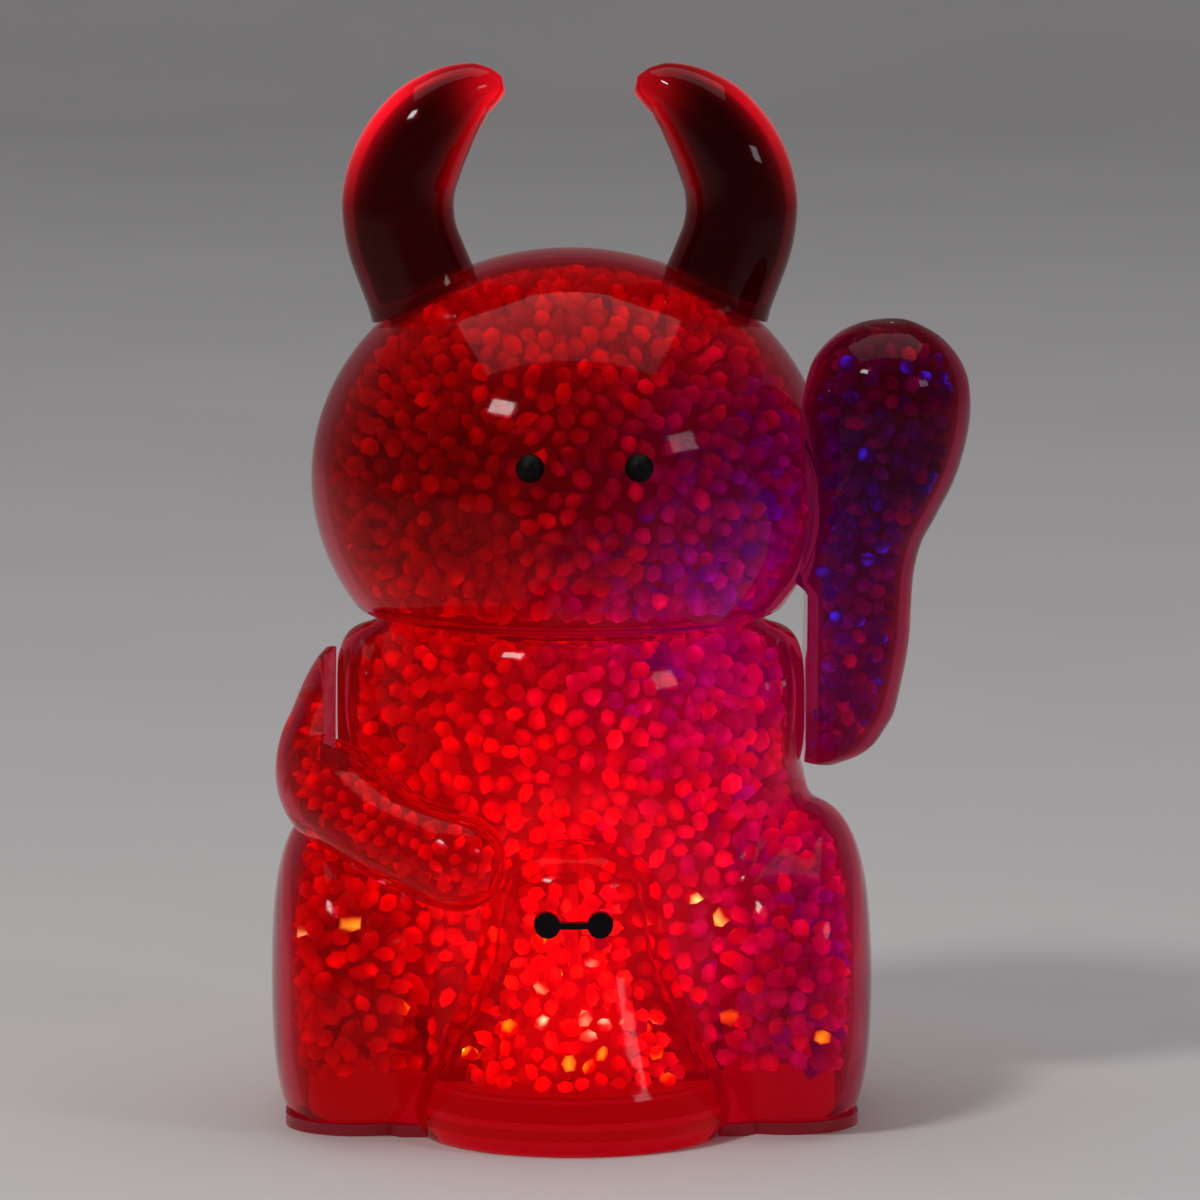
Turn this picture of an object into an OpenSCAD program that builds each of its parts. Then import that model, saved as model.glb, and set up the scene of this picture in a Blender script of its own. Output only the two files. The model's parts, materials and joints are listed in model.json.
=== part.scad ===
// Light-up beckoning ox figurine: clear hollow shells filled with clear granules, lit from the base.
// Units are millimetres. Origin: centre of the flat underside. +Z up, the face looks along -Y.

/* [Body] */
// Thickness of the moulded body wall
body_wall = 2.2; // [1.6:0.1:3]
// Height of the body shell, floor to neck
body_top = 84.3; // [80:0.1:90]
// Sideways place of each round haunch
haunch_x = 36; // [34:0.5:38]
// Front-back place of each haunch
haunch_y = -12; // [-16:0.5:-8]
// Height of each haunch's middle
haunch_z = 24; // [22:0.5:26]
// Radius of a haunch seen from the side
haunch_r = 30.5; // [28:0.5:32]
// Half the thickness of a haunch
haunch_half = 14.7; // [12:0.1:16]
// Radius of each round shoulder seen from the side
shoulder_lobe_r = 14; // [12:0.5:14.5]
// Flat front face behind the lap bell
front_flat_y = -34; // [-38:0.5:-30]

/* [Head] */
// Half the width of the head
head_half_width = 43.9; // [40:0.1:48]
// Half the full height of the head oval
head_half_height = 38.8; // [35:0.1:42]
// Height of the head oval's centre
head_centre_z = 107.4; // [104:0.1:110]
// Lowest point of the head shell
head_bottom = 84.7; // [84.6:0.1:86]
// Thickness of the moulded head wall
head_wall = 2.3; // [1.6:0.1:3]
// Half the spacing of the eyes
eye_half_gap = 9; // [6:0.5:12]
// Height of the eyes
eye_z = 113.6; // [105:0.1:118]
// Radius of an eye
eye_r = 2.4; // [2:0.1:3]
// Turn of the face on the head, in degrees
face_turn = 2.5; // [0:0.5:5]

/* [Joints] */
// Radius of the neck collar that turns in the body
neck_r = 22; // [18:0.5:24]
// Radius of each shoulder peg
shoulder_r = 6.5; // [6:0.5:7]
// Height of both shoulder pivots
shoulder_z = 69.5; // [66:0.5:72]
// Front-back place of the raised arm's pivot
raised_pivot_y = -5; // [-8:0.5:0]
// Front-back place of the lowered arm's pivot
lowered_pivot_y = -4; // [-8:0.5:0]
// Running clearance of pegs and collar, per side
running_fit = 0.05; // [0.02:0.01:0.1]
// Gap between moving shells
shell_gap = 0.4; // [0.3:0.05:0.6]

/* [Power] */
// Radius of one AAA cell
cell_r = 5.2; // [5:0.05:5.3]
// Length of one AAA cell over its nub
cell_length = 44.5; // [43:0.1:45]
// Travel of the power switch
switch_travel = 3; // [2:0.5:4]

/* [Hidden] */
$fn = 64;
TORSO = [[0, 44.2], [4, 45], [10, 45.5], [18, 46], [34, 46], [40, 45], [45, 43.5], [51, 41.5], [56, 40],
  [62, 38.9], [66, 38.4], [71, 37.6], [76, 36.4], [80, 34.9], [84.3, 32.6]];
BELL = [[0.2, 25.2], [2, 26.7], [5, 27.5], [9, 26.6], [15, 23.8], [22, 20.7], [30, 17.9], [38, 16.8],
  [44, 15.8], [48, 13], [51, 8.6], [53, 4], [53.8, 0]];
HORN = [[-25.2, 139.6, 9.6], [-26.8, 143.6, 9.5], [-28.2, 147.4, 9.45], [-28.9, 151, 9.45],
  [-29, 154.4, 9.45], [-28.3, 158.2, 9.3], [-26.9, 161.7, 9.1], [-25.1, 164.9, 8.65], [-22.7, 168, 7.95],
  [-19.5, 170.9, 6.6], [-16.3, 172.8, 5.1], [-13.9, 173.5, 3.8], [-12.3, 173.8, 2.6], [-11.2, 174, 1.4]];
RAISED = [[42.3, -4.1, 59.2, 3.4, 3.4], [42.5, -4.3, 61.2, 6.6, 6.6], [43, -4.6, 64.5, 9.4, 9.4],
  [43.8, -5, 69.5, 11.2, 11.2], [45.2, -6.5, 75.5, 11.2, 11.2], [46.3, -8.8, 81.5, 11, 10.5],
  [46.7, -11.6, 88, 10.8, 9.5], [47.4, -14, 94.5, 10.5, 9], [48.5, -16, 101, 10.9, 9.5],
  [50.2, -17.8, 107.5, 12.2, 11.3], [51.8, -19, 114, 13.5, 13.2], [52.7, -20, 121.4, 14.1, 14.1],
  [53, -20.6, 128, 12.9, 12.9], [53.2, -21, 132.4, 9.7, 9.7], [53.3, -21.3, 134.9, 5.6, 5.6],
  [53.3, -21.4, 135.6, 2.6, 2.6]];
LOWERED = [[-40.1, -2.5, 78.6, 1.3, 3.2], [-40.1, -2.8, 77, 2.7, 5.8], [-40.2, -3.4, 74, 4.4, 8.2],
  [-40.4, -4.6, 70, 6, 9.8], [-40.6, -7.4, 65.5, 7.6, 10.2], [-41.2, -11.6, 61.4, 8.5, 9.9],
  [-41.2, -17, 58.2, 8.5, 9.2], [-39.4, -24, 56.2, 8.5, 8.8], [-35.8, -31, 54.8, 8.2, 8.2],
  [-30.6, -37.5, 52, 7.9, 7.9], [-25, -42.3, 50.2, 8, 8], [-20, -45.4, 48.8, 8.4, 8.4],
  [-16, -47.4, 47.8, 7.4, 7.4], [-13.4, -48.6, 47.2, 4.8, 4.8],
  [-12.5, -49, 47, 2.4, 2.4]];
SIDES = 28;
arm_wall = 2;
horn_wall = 1.9;
bell_wall = 2;
bell_axis_y = -27;
scoop_r = 16;
scoop_z = 44;
haunch_power = 0.68;
shoulder_lobe_x = 27;
shoulder_lobe_half = 12.5;
shoulder_power = 0.45;
bell_back_y = front_flat_y - 0.05;
bell_plug_z = 26;
bell_plug_r = 7;
chest_gap = 0.2;
fill_gap = 0.35;
hand_gap = 1.2;
haunch_gap = 1.3;
arm_face = 39.9;
boss_face = 39.5;
boss_inner = 31.5;
boss_r = 8.4;
flange_gap = 0.3;
horn_seat_r = 9.9;
horn_plug_r = 6.5;
horn_plug_length = 6;
glue_gap = 0.02;
muzzle_r = 12.5;
muzzle_y = -32.8;
muzzle_z = 99.5;
ring_inner_z = body_top - 4;
flange_h = 3;
deck_top = 10.5;
plate_top = 2;
deck_wall = 1.8;
deck_gap = 0.3;
tub_x = 25.2;
tub_front = -6.4;
tub_back = 26.4;
tub_top = 14.4;
cell_z = 8.4;
plate_x = tub_x - 0.3;
tab_x = plate_x - 0.5;
cell_ys = [-0.9, 10, 20.9];
dome_y = -19.9;
dome_r = 10.8;
dome_wall = 1.6;
dome_straight = 11.5;
board_z = 4;
board_top = 5.6;
led_gap = 6;
led_r = 2.5;
screw_xy = [[32.8, 20.2], [-32.8, 20.2], [25, -27.5], [-25, -27.5]];
screw_r = 1.2;
eye_seat_y = -41.8;
column_r = 3.5;
post_r = 5.4;
board_screw_x = 16;
board_screw_y = -27.5;
door_hinge_y = -5.5;
door_hinge_z = 1;
door_x = 23.6;
door_back = 26.6;
switch_x = 33.5;
wire_r = 0.6;
clear_tint = [1, 0.55, 0.55, 0.45];
bead_tint = [0.9, 0.12, 0.12];

function unit(v) = v / norm(v);
function spot(s) = [s[0], s[1], s[2]];
function heading(st, i) = unit(spot(st[min(i + 1, len(st) - 1)]) - spot(st[max(i - 1, 0)]));
function outward(c, t, ref) = let (o = norm(ref) > 0 ? ref : unit([c[0], c[1], 0])) unit(o - (o * t) * t);
function loop_point(c, u, v, ru, rv, a) = c + ru * cos(a) * u + rv * sin(a) * v;
function loop(st, i, ref, off) =
  let (c = spot(st[i]), t = heading(st, i), u = outward(c, t, ref), v = cross(t, u))
  [for (k = [0 : SIDES - 1]) loop_point(c, u, v, st[i][3] - off, st[i][4] - off, 360 * k / SIDES)];
function thin_end(st, off) = [for (s = st) if (min(s[3], s[4]) - off > 0.6) s];

// Moves a point straight out from the Z axis to at least the distance need
function pushed_out(p, need) =
  let (d = norm([p[0], p[1]])) d < need ? [p[0] * need / d, p[1] * need / d, p[2]] : p;

// Keeps an arm's points beyond its shoulder face near the pivot, and off the torso and the head elsewhere
function head_radius(z) =
  head_half_width * sqrt(max(0, 1 - pow((z - head_centre_z) / head_half_height, 2)));
function near_pivot(p, y, reach) = norm([p[1] - y, p[2] - shoulder_z]) < reach;
function clear_raised(p, off) =
  let (q = pushed_out(p, head_radius(p[2]) + hand_gap + off))
  near_pivot(p, raised_pivot_y, shoulder_lobe_r + 10) ? [max(q[0], arm_face + off), q[1], q[2]]
  : pushed_out(q, lookup(p[2], TORSO) + shell_gap + off);
function off_face(p, off) =
  near_pivot(p, lowered_pivot_y, shoulder_lobe_r + 5) ? [min(p[0], -arm_face - off), p[1], p[2]] : p;
function off_torso(p, off) = pushed_out(p, lookup(p[2], TORSO) + shell_gap + off);
function haunch_reach(d) = d < haunch_half
  ? haunch_r * pow(1 - pow(d / haunch_half, 2 / haunch_power), haunch_power / 2) : 0;
function off_haunch(p, off) =
  let (reach = haunch_reach(abs(p[0] + haunch_x)), dy = p[1] - haunch_y,
    need = reach > abs(dy) ? haunch_z + sqrt(reach * reach - dy * dy) + haunch_gap + off : 0)
  p[2] < need ? [p[0], p[1], need] : p;
function clear_lowered(p, off) = off_haunch(off_torso(off_face(p, off), off), off);

// Closed tube through a row of loops, with a flat fan on each end
module tube(loops) {
  n = len(loops);
  first = [for (k = [0 : SIDES - 1]) loops[0][k]];
  last = [for (k = [0 : SIDES - 1]) loops[n - 1][k]];
  mid = [for (m = [first, last]) [for (j = [0 : 2]) [for (p = m) p[j]] * [for (p = m) 1] / SIDES]];
  points = concat([for (l = loops) for (p = l) p], mid);
  sides = [for (i = [0 : n - 2]) for (k = [0 : SIDES - 1])
    let (a = i * SIDES + k, b = i * SIDES + (k + 1) % SIDES)
    each [[a, a + SIDES, b + SIDES], [a, b + SIDES, b]]];
  start = [for (k = [0 : SIDES - 1]) [n * SIDES, k, (k + 1) % SIDES]];
  end = [for (k = [0 : SIDES - 1]) [n * SIDES + 1, (n - 1) * SIDES + (k + 1) % SIDES, (n - 1) * SIDES + k]];
  polyhedron(points, concat(sides, start, end), convexity = 6);
}

module horn_tube(off) {
  st = [for (h = HORN) if (h[2] - off > 0.5) [h[0], 0, h[1], h[2], h[2]]];
  tube([for (i = [0 : len(st) - 1]) loop(st, i, [0, 1, 0], off)]);
}

module raised_tube(off) {
  st = thin_end(RAISED, off);
  tube([for (i = [0 : len(st) - 1]) [for (p = loop(st, i, [1, 0, 0], off)) clear_raised(p, off)]]);
}

module lowered_tube(off) {
  st = thin_end(LOWERED, off);
  tube([for (i = [0 : len(st) - 1]) [for (p = loop(st, i, [0, 0, 0], off)) clear_lowered(p, off)]]);
}

module slab(z0, z1) {
  translate([-100, -100, z0]) cube([200, 200, z1 - z0]);
}

// Torso of revolution with a flat niche in front that curves out under the chest
module torso(off, top) {
  difference() {
    rotate_extrude($fn = 96)
      polygon(concat([[0, 0]], [for (t = TORSO) if (t[0] < top) [t[1] - off, t[0]]],
        [[lookup(top, TORSO) - off, top], [0, top]]));
    translate([-60, front_flat_y - 60 + off, -1]) cube([120, 60, scoop_z + 1]);
    translate([0, front_flat_y - scoop_r, scoop_z]) along_x(-60, 60, scoop_r + off);
  }
}

// Round lobe about a sideways axis, full at the middle and soft at the rim
module lobe(at, r, half, power) {
  angles = [for (i = [0 : 10]) 90 - 9 * i];
  rim = [for (t = angles) [r * pow(cos(t), power), half * pow(sin(t), power)]];
  translate(at) rotate([0, 90, 0]) rotate_extrude($fn = 96)
    polygon(concat(rim, [for (i = [9 : -1 : 0]) [rim[i][0], -rim[i][1]]]));
}

module body_solid(off, top) {
  torso(off, top);
  difference() {
    for (s = [-1, 1])
      lobe([s * haunch_x, haunch_y, haunch_z], haunch_r - off, haunch_half - off, haunch_power);
    slab(-20, 0);
  }
  for (s = [-1, 1])
    lobe([s * shoulder_lobe_x, s > 0 ? raised_pivot_y : lowered_pivot_y, shoulder_z],
      shoulder_lobe_r - off, shoulder_lobe_half - off, shoulder_power);
}

// Plan outline of the base, made of round pieces
module base_outline(torso_r, front, lobe_r, lobe_front, lobe_back, z0, z1) {
  difference() {
    translate([0, 0, z0]) cylinder(r = torso_r, h = z1 - z0, $fn = 96);
    translate([-60, front - 60, z0 - 1]) cube([120, 60, z1 - z0 + 2]);
  }
  for (s = [-1, 1]) {
    for (y = [lobe_front + lobe_r, lobe_back - lobe_r])
      translate([s * haunch_x, y, z0]) cylinder(r = lobe_r, h = z1 - z0);
    translate([s * haunch_x - lobe_r, lobe_front + lobe_r, z0])
      cube([2 * lobe_r, lobe_back - lobe_front - 2 * lobe_r, z1 - z0]);
  }
}

module along_x(x0, x1, r) {
  translate([min(x0, x1), 0, 0]) rotate([0, 90, 0]) cylinder(r = r, h = abs(x1 - x0));
}

module along_y(y0, y1, r) {
  translate([0, max(y0, y1), 0]) rotate([90, 0, 0]) cylinder(r = r, h = abs(y1 - y0));
}

module at_shoulder(y) {
  translate([0, y, shoulder_z]) children();
}

module body_shell() {
  color(clear_tint) difference() {
    union() {
      difference() {
        body_solid(0, body_top);
        body_solid(body_wall, body_top - body_wall);
      }
      translate([0, 0, ring_inner_z]) cylinder(r = neck_r + 5, h = body_top - ring_inner_z);
      at_shoulder(raised_pivot_y) along_x(boss_inner, boss_face, boss_r);
      at_shoulder(lowered_pivot_y) along_x(-boss_face, -boss_inner, boss_r);
      for (p = screw_xy) translate([p[0], p[1], deck_top]) cylinder(r = post_r, h = 14);
    }
    slab(-1, plate_top);
    translate([0, 0, ring_inner_z - 1]) cylinder(r = neck_r + running_fit, h = 10);
    at_shoulder(raised_pivot_y) along_x(20, 50, shoulder_r + running_fit);
    at_shoulder(lowered_pivot_y) along_x(-50, -20, shoulder_r + running_fit);
    translate([0, 0, bell_plug_z]) along_y(-40, -25, bell_plug_r + glue_gap);
    for (p = screw_xy) translate([p[0], p[1], deck_top - 1]) cylinder(r = screw_r + glue_gap, h = 12);
  }
}

// Head oval, shrunk by off and cut level at its foot
module head_oval(off, foot) {
  a = head_half_width - off;
  c = head_half_height - off;
  low = asin((foot - head_centre_z) / c);
  steps = 22;
  rotate_extrude($fn = 96)
    polygon(concat([[0, foot]], [for (i = [0 : steps])
      let (t = low + (90 - low) * i / steps) [i == steps ? 0 : a * cos(t), head_centre_z + c * sin(t)]]));
}

module at_horn() {
  tilt = atan2(HORN[1][0] - HORN[0][0], HORN[1][1] - HORN[0][1]);
  translate([HORN[0][0], 0, HORN[0][1]]) rotate([0, tilt, 0]) children();
}

module both_horns() {
  at_horn() children();
  mirror([1, 0, 0]) at_horn() children();
}

module muzzle(off) {
  translate([0, muzzle_y, muzzle_z]) sphere(r = muzzle_r - off);
}

module face() {
  rotate([0, 0, face_turn]) children();
}

module head_shell() {
  collar_foot = ring_inner_z - flange_gap - flange_h;
  color(clear_tint) difference() {
    union() {
      difference() {
        union() {
          difference() {
            head_oval(0, head_bottom);
            both_horns() cylinder(r = horn_seat_r + 0.3, h = 12);
          }
          face() muzzle(0);
        }
        head_oval(head_wall, head_bottom + head_wall);
        face() muzzle(head_wall);
      }
      both_horns() translate([0, 0, -horn_plug_length - 1])
        cylinder(r = horn_seat_r, h = horn_plug_length + 1);
      translate([0, 0, collar_foot]) cylinder(r = neck_r, h = head_bottom + 1 - collar_foot);
      translate([0, 0, collar_foot]) cylinder(r = neck_r + 1.6, h = flange_h);
    }
    translate([0, 0, collar_foot - 1]) cylinder(r = neck_r - 3, h = 5);
    both_horns() translate([0, 0, -20]) cylinder(r = horn_plug_r + glue_gap, h = 30);
    face() for (s = [-1, 1]) {
      translate([s * eye_half_gap, 0, eye_z]) along_y(-50, eye_seat_y, eye_r + glue_gap);
      translate([s * eye_half_gap, 0, eye_z]) along_y(-50, -30, eye_r / 2 + glue_gap);
      translate([s * 3.6, muzzle_y - muzzle_r + 0.3, muzzle_z + 2]) sphere(r = 1.5);
    }
  }
}

// Half-round bead with a short stem behind it
module eye(side) {
  color("black") face() translate([side * eye_half_gap, 0, eye_z]) {
    difference() {
      translate([0, eye_seat_y, 0]) sphere(r = eye_r);
      translate([-5, eye_seat_y, -5]) cube([10, 5, 10]);
    }
    along_y(eye_seat_y - 0.5, -40.2, eye_r / 2);
  }
}

module eye_left() {
  eye(-1);
}

module eye_right() {
  eye(1);
}

// Hollow horn with the tube plug that seats it in the head
module horn_left() {
  color(clear_tint) difference() {
    union() {
      difference() {
        horn_tube(0);
        horn_tube(horn_wall);
      }
      at_horn() cylinder(r = horn_seat_r - 1.2, h = 1.8);
      at_horn() translate([0, 0, -horn_plug_length]) cylinder(r = horn_plug_r, h = horn_plug_length + 1);
    }
    at_horn() translate([0, 0, -horn_plug_length - 1])
      cylinder(r = horn_plug_r - 2, h = horn_plug_length + 4);
  }
}

module horn_right() {
  mirror([1, 0, 0]) horn_left();
}

module raised_arm() {
  color(clear_tint) difference() {
    union() {
      difference() {
        raised_tube(0);
        raised_tube(arm_wall);
      }
      at_shoulder(raised_pivot_y) along_x(boss_inner - 2.3, arm_face + 1, shoulder_r);
      at_shoulder(raised_pivot_y) along_x(boss_inner - 2.3, boss_inner - flange_gap, shoulder_r + 1);
    }
    at_shoulder(raised_pivot_y) along_x(20, arm_face + 3, shoulder_r - 2);
  }
}

module lowered_arm() {
  color(clear_tint) difference() {
    union() {
      difference() {
        lowered_tube(0);
        lowered_tube(arm_wall);
      }
      at_shoulder(lowered_pivot_y) along_x(-arm_face - 1, -boss_inner + 2.3, shoulder_r);
      at_shoulder(lowered_pivot_y) along_x(-boss_inner + flange_gap, -boss_inner + 2.3, shoulder_r + 1);
    }
    at_shoulder(lowered_pivot_y) along_x(-arm_face - 3, -20, shoulder_r - 2);
  }
}

// Half bell of revolution standing against the flat front and tucked under the chest
module bell_solid(off, foot, back) {
  rim = [for (b = BELL) if (b[1] > off && b[0] > foot) [b[1] - off, b[0]]];
  intersection() {
    translate([0, bell_axis_y, 0]) rotate_extrude($fn = 96)
      polygon(concat([[0, foot], [lookup(foot, BELL) - off, foot]], rim, [[0, 53.8 - off]]));
    difference() {
      translate([-50, back - 60, -1]) cube([100, 60, 80]);
      difference() {
        translate([-50, back - 20, scoop_z]) cube([100, 30, 20]);
        translate([0, front_flat_y - scoop_r, scoop_z]) along_x(-60, 60, scoop_r - chest_gap - off);
      }
    }
  }
}

module slot_cut(grow, y0, y1) {
  for (s = [-1, 1]) translate([s * 4.4, 0, 37.4]) along_y(y0, y1, 2.15 + grow);
  translate([-4.4, y0, 36.9 - grow]) cube([8.8, y1 - y0, 1 + 2 * grow]);
}

module lap_bell() {
  color(clear_tint) difference() {
    union() {
      difference() {
        bell_solid(0, 0.2, bell_back_y);
        bell_solid(bell_wall, 0.1, bell_back_y - bell_wall);
      }
      translate([0, 0, bell_plug_z]) along_y(bell_back_y - 1, front_flat_y + body_wall, bell_plug_r);
    }
    translate([0, 0, bell_plug_z]) along_y(-40, -25, bell_plug_r - 1.5);
    slot_cut(glue_gap, -50, -38);
  }
}

module bell_slot() {
  color("black") intersection() {
    slot_cut(0, -50, -38);
    difference() {
      translate([0, bell_axis_y, 30]) cylinder(r = 17.2, h = 14);
      translate([0, bell_axis_y, 29]) cylinder(r = 14.9, h = 16);
    }
  }
}

module bell_foot() {
  color([1, 0.8, 0.8]) intersection() {
    bell_solid(bell_wall + 0.05, 0.2, bell_back_y - bell_wall - 0.05);
    slab(0, 9.8);
  }
}

module bell_beads() {
  color(bead_tint) intersection() {
    bell_solid(bell_wall + fill_gap, 0.2, bell_back_y - bell_wall - fill_gap);
    slab(10, 60);
  }
}

module head_beads() {
  color(bead_tint) difference() {
    head_oval(head_wall + fill_gap, head_bottom + head_wall + fill_gap);
    both_horns() translate([0, 0, -horn_plug_length - 1.4]) cylinder(r = horn_seat_r + fill_gap, h = 20);
  }
}

module body_beads() {
  fill_top = ring_inner_z - flange_gap - flange_h - 0.6;
  color(bead_tint) difference() {
    body_solid(body_wall + fill_gap, fill_top);
    translate([0, 0, fill_top]) cylinder(r = neck_r + 5 + fill_gap, h = 10);
    slab(-1, deck_top + fill_gap);
    translate([-tub_x - 2.2, tub_front - 2.2, 0])
      cube([2 * tub_x + 4.4, tub_back - tub_front + 4.4, tub_top + 2.2]);
    translate([0, dome_y, 5]) cylinder(r = dome_r + fill_gap, h = deck_top + dome_straight - 5);
    translate([0, dome_y, deck_top + dome_straight]) sphere(r = dome_r + fill_gap);
    at_shoulder(raised_pivot_y) along_x(boss_inner - 2.8, 45, boss_r + fill_gap);
    at_shoulder(lowered_pivot_y) along_x(-45, -boss_inner + 2.8, boss_r + fill_gap);
    for (p = screw_xy) translate([p[0], p[1], 9]) cylinder(r = post_r + fill_gap, h = 16);
  }
}

module raised_arm_beads() {
  color(bead_tint) raised_tube(arm_wall + fill_gap);
}

module lowered_arm_beads() {
  color(bead_tint) lowered_tube(arm_wall + fill_gap);
}

module base_plate() {
  color([0.25, 0.05, 0.06]) difference() {
    base_outline(44.5, front_flat_y, 12.3, -33, 9, 0, plate_top);
    translate([-door_x - 0.3, door_hinge_y - 1.4, -1])
      cube([2 * door_x + 0.6, door_back + 0.3 - door_hinge_y + 1.4, 5]);
    translate([0, door_hinge_y, door_hinge_z]) along_x(-door_x - 1.6, door_x + 1.6, 0.6 + running_fit);
    translate([0, door_back + 2, -6.2]) sphere(r = 7.5);
    translate([switch_x - 1.5, -3.2, -1]) cube([3, switch_travel + 3.4, 5]);
    for (p = screw_xy) {
      translate([p[0], p[1], -1]) cylinder(r = 2.6, h = 2.2);
      translate([p[0], p[1], -1]) cylinder(r = 1.5, h = 5);
    }
  }
}

// Frosted tray: skirt, deck, screw columns and the roofed battery tub
module base_deck() {
  inner = front_flat_y + body_wall + deck_gap;
  color([1, 0.8, 0.8]) difference() {
    union() {
      difference() {
        base_outline(41.8, inner, 9, -29, 5, plate_top, deck_top);
        base_outline(40, inner + deck_wall, 7.2, -27.2, 3.2, plate_top - 1, deck_top - deck_wall);
      }
      translate([-tub_x - deck_wall, tub_front - deck_wall, plate_top])
        cube([2 * (tub_x + deck_wall), tub_back - tub_front + 2 * deck_wall,
          tub_top + deck_wall - plate_top]);
      for (p = screw_xy) translate([p[0], p[1], plate_top]) cylinder(r = column_r, h = deck_top - plate_top);
      for (s = [-1, 1]) translate([s * board_screw_x, board_screw_y, board_top])
        cylinder(r = 2.2, h = deck_top - board_top);
    }
    translate([-tub_x, tub_front, 0]) cube([2 * tub_x, tub_back - tub_front, tub_top]);
    for (s = [-1, 0, 1]) translate([s * led_gap, dome_y, 0]) cylinder(r = led_r + 0.3, h = 20);
    for (s = [-1, 1]) translate([s * board_screw_x, board_screw_y, 0]) cylinder(r = 0.9, h = deck_top - 1);
    for (s = [-1, 1]) translate([s * tab_x - 1.2, -9, 3.2]) cube([2.4, 4, 3.6]);
    for (p = screw_xy) translate([p[0], p[1], 0]) cylinder(r = 1.5, h = 20);
  }
}

module light_dome() {
  color([1, 0.85, 0.8]) translate([0, dome_y, deck_top]) difference() {
    union() {
      cylinder(r = dome_r, h = dome_straight);
      translate([0, 0, dome_straight]) sphere(r = dome_r);
    }
    translate([0, 0, -1]) cylinder(r = dome_r - dome_wall, h = dome_straight + 1);
    translate([0, 0, dome_straight]) sphere(r = dome_r - dome_wall);
    translate([-20, -20, -20]) cube([40, 40, 20]);
  }
}

module circuit_board() {
  color([0.05, 0.35, 0.15]) difference() {
    translate([-19, -29.4, board_z]) cube([38, 20.4, board_top - board_z]);
    for (s = [-1, 1]) translate([s * board_screw_x, board_screw_y, 0]) cylinder(r = 1.1, h = 10);
  }
}

module led(x) {
  translate([x, dome_y, board_top]) {
    cylinder(r = led_r, h = 6.1);
    translate([0, 0, 6.1]) sphere(r = led_r);
  }
}

module led_red() {
  color("red") led(0);
}

module led_green() {
  color("lime") led(-led_gap);
}

module led_blue() {
  color("blue") led(led_gap);
}

module resistor() {
  color([0.75, 0.6, 0.4]) translate([0, -12.4, board_top + 1.2]) {
    along_x(-3, 3, 1.1);
    along_x(-5, 5, 0.3);
  }
  color("silver") for (s = [-1, 1]) translate([s * 4.8, -12.4, board_top]) cylinder(r = 0.3, h = 1.3);
}

module switch_body() {
  color([0.2, 0.2, 0.22]) difference() {
    translate([switch_x - 3.5, -6, plate_top]) cube([7, switch_travel + 9, 5]);
    translate([switch_x - 2.5, -4.6, plate_top - 1]) cube([5, switch_travel + 6.2, 4.4]);
  }
}

module switch_knob() {
  color([0.9, 0.9, 0.9]) {
    translate([switch_x - 2.1, -4.2, 2.4]) cube([4.2, 5.2, 1.4]);
    translate([switch_x - 1.1, -2.6, 0.3]) cube([2.2, 2, 2.3]);
  }
}

module battery_door() {
  color([0.3, 0.06, 0.07]) union() {
    translate([-door_x, door_hinge_y - 0.8, 0.25]) cube([2 * door_x, door_back - door_hinge_y + 0.8, 1.5]);
    translate([0, door_hinge_y, door_hinge_z]) along_x(-door_x - 1.3, door_x + 1.3, 0.6);
  }
}

function cell_end(i) = i % 2 == 0 ? 1 : -1;

module cell(i) {
  nub = cell_end(i) * (plate_x - 0.3);
  flat = nub - cell_end(i) * cell_length;
  color([0.75, 0.75, 0.78]) translate([0, cell_ys[i], cell_z]) {
    along_x(nub - cell_end(i) * 1.2, flat, cell_r);
    along_x(nub - cell_end(i) * 2, nub, 1.9);
  }
}

module battery_1() {
  cell(0);
}

module battery_2() {
  cell(1);
}

module battery_3() {
  cell(2);
}

// One ribbed cone per cell, at its flat end
module contact_springs() {
  span = 2 * plate_x - 0.55 - cell_length;
  ribs = 4;
  color("silver") for (i = [0 : 2]) {
    side = -cell_end(i);
    translate([side * (plate_x - 0.25 - span), cell_ys[i], cell_z]) rotate([0, side * 90, 0]) rotate_extrude()
      polygon(concat([[0, 0.05]], [for (k = [0 : 2 * ribs])
        [(k % 2 == 0 ? 2 : 2.8) + k * 0.15, 0.05 + (span - 0.05) * k / (2 * ribs)]], [[0, span]]));
  }
}

module contact_plates() {
  color("silver") {
    for (i = [0 : 2]) for (s = [-1, 1])
      translate([s * plate_x - 0.25, cell_ys[i] - 4, 4]) cube([0.5, 8, 8.6]);
    for (s = [-1, 1]) translate([s * plate_x - 0.25, -6.1, 4]) cube([0.5, 2, 1.6]);
    for (s = [-1, 1]) translate([s * tab_x - 0.6, -6.1, 4]) cube([1.2, 0.5, 1.6]);
    for (s = [-1, 1]) translate([s * tab_x - 0.6, -9.4, 4]) cube([1.2, 3.6, 0.5]);
  }
}

module base_screws() {
  color("silver") for (p = screw_xy) translate([p[0], p[1], 0.3]) {
    cylinder(r = 2.4, h = 0.85);
    cylinder(r = screw_r, h = 19);
  }
}

module board_screws() {
  color("silver") for (s = [-1, 1]) translate([s * board_screw_x, board_screw_y, 2.6]) {
    cylinder(r = 1.8, h = board_z - 2.6);
    cylinder(r = 0.85, h = 6);
  }
}

module link(a, b) {
  d = b - a;
  translate(a) rotate([0, acos(d[2] / norm(d)), atan2(d[1], d[0])])
    cylinder(r = wire_r, h = norm(d), $fn = 24);
  translate(b) sphere(r = wire_r + 0.03, $fn = 24);
}

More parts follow.
